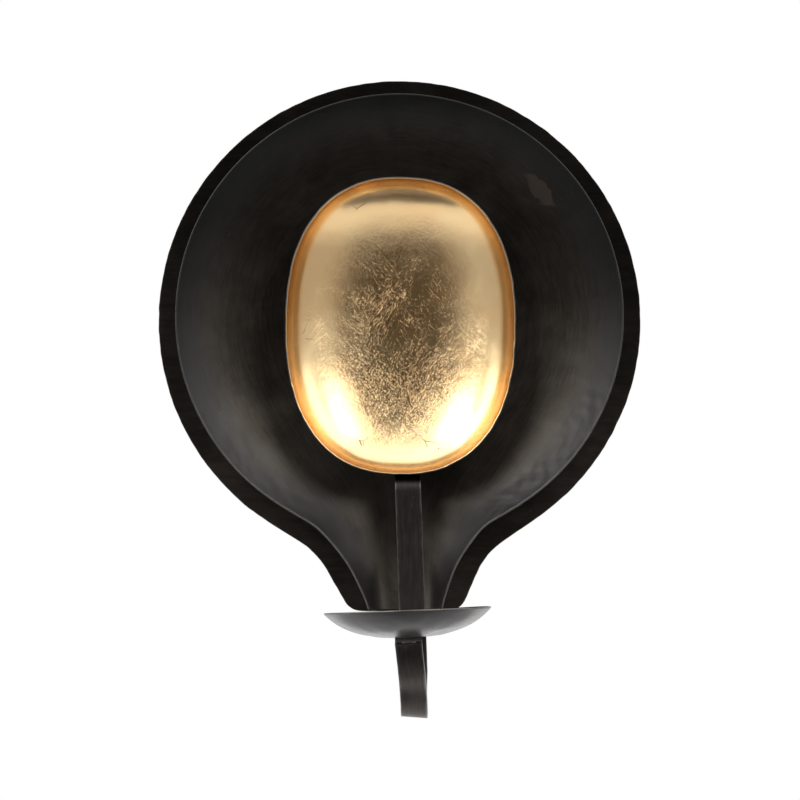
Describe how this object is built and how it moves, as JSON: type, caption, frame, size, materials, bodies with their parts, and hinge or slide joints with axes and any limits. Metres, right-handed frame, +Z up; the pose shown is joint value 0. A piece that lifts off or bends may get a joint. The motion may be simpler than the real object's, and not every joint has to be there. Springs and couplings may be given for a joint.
{
  "type": "wall sconce candle holder",
  "caption": "Wall-hung candle holder: round blackened back plate and dish, oval gilt reflector bowl, flat-bar arm looping forward to a shallow drip pan.",
  "frame": {"origin": "centre of the keyhole's round entry in the hanger bracket, in the plane of the wall", "axes": "+Y into the wall, +Z up, +X to the right as seen from the room"},
  "size_m": [0.2992, 0.147, 0.3937],
  "materials": {
    "blackened_plate": "blackened bronze patina, brushed and waxed",
    "blackened_dish": "blackened bronze patina, brushed round the form, edges rubbed bright",
    "gold_leaf": "crumpled gold leaf inside, blackened outside",
    "blackened_bar": "blackened flat bar with rubbed edges",
    "blackened_pan": "smooth blackened satin",
    "plain_steel": "zinc-dull steel",
    "rubber": "matt"
  },
  "bodies": {
    "root": {"back_plate": "blackened_plate", "front_dish": "blackened_dish", "reflector_bowl": "gold_leaf", "bowl_studs": "plain_steel", "stud_washers": "plain_steel", "stud_nuts": "plain_steel", "arm_strap": "blackened_bar", "drip_pan": "blackened_pan", "pan_rivet": "blackened_bar", "hanger_bracket": "plain_steel", "hanger_rivets": "plain_steel", "wall_bumpers": "rubber"}
  },
  "joints": []
}
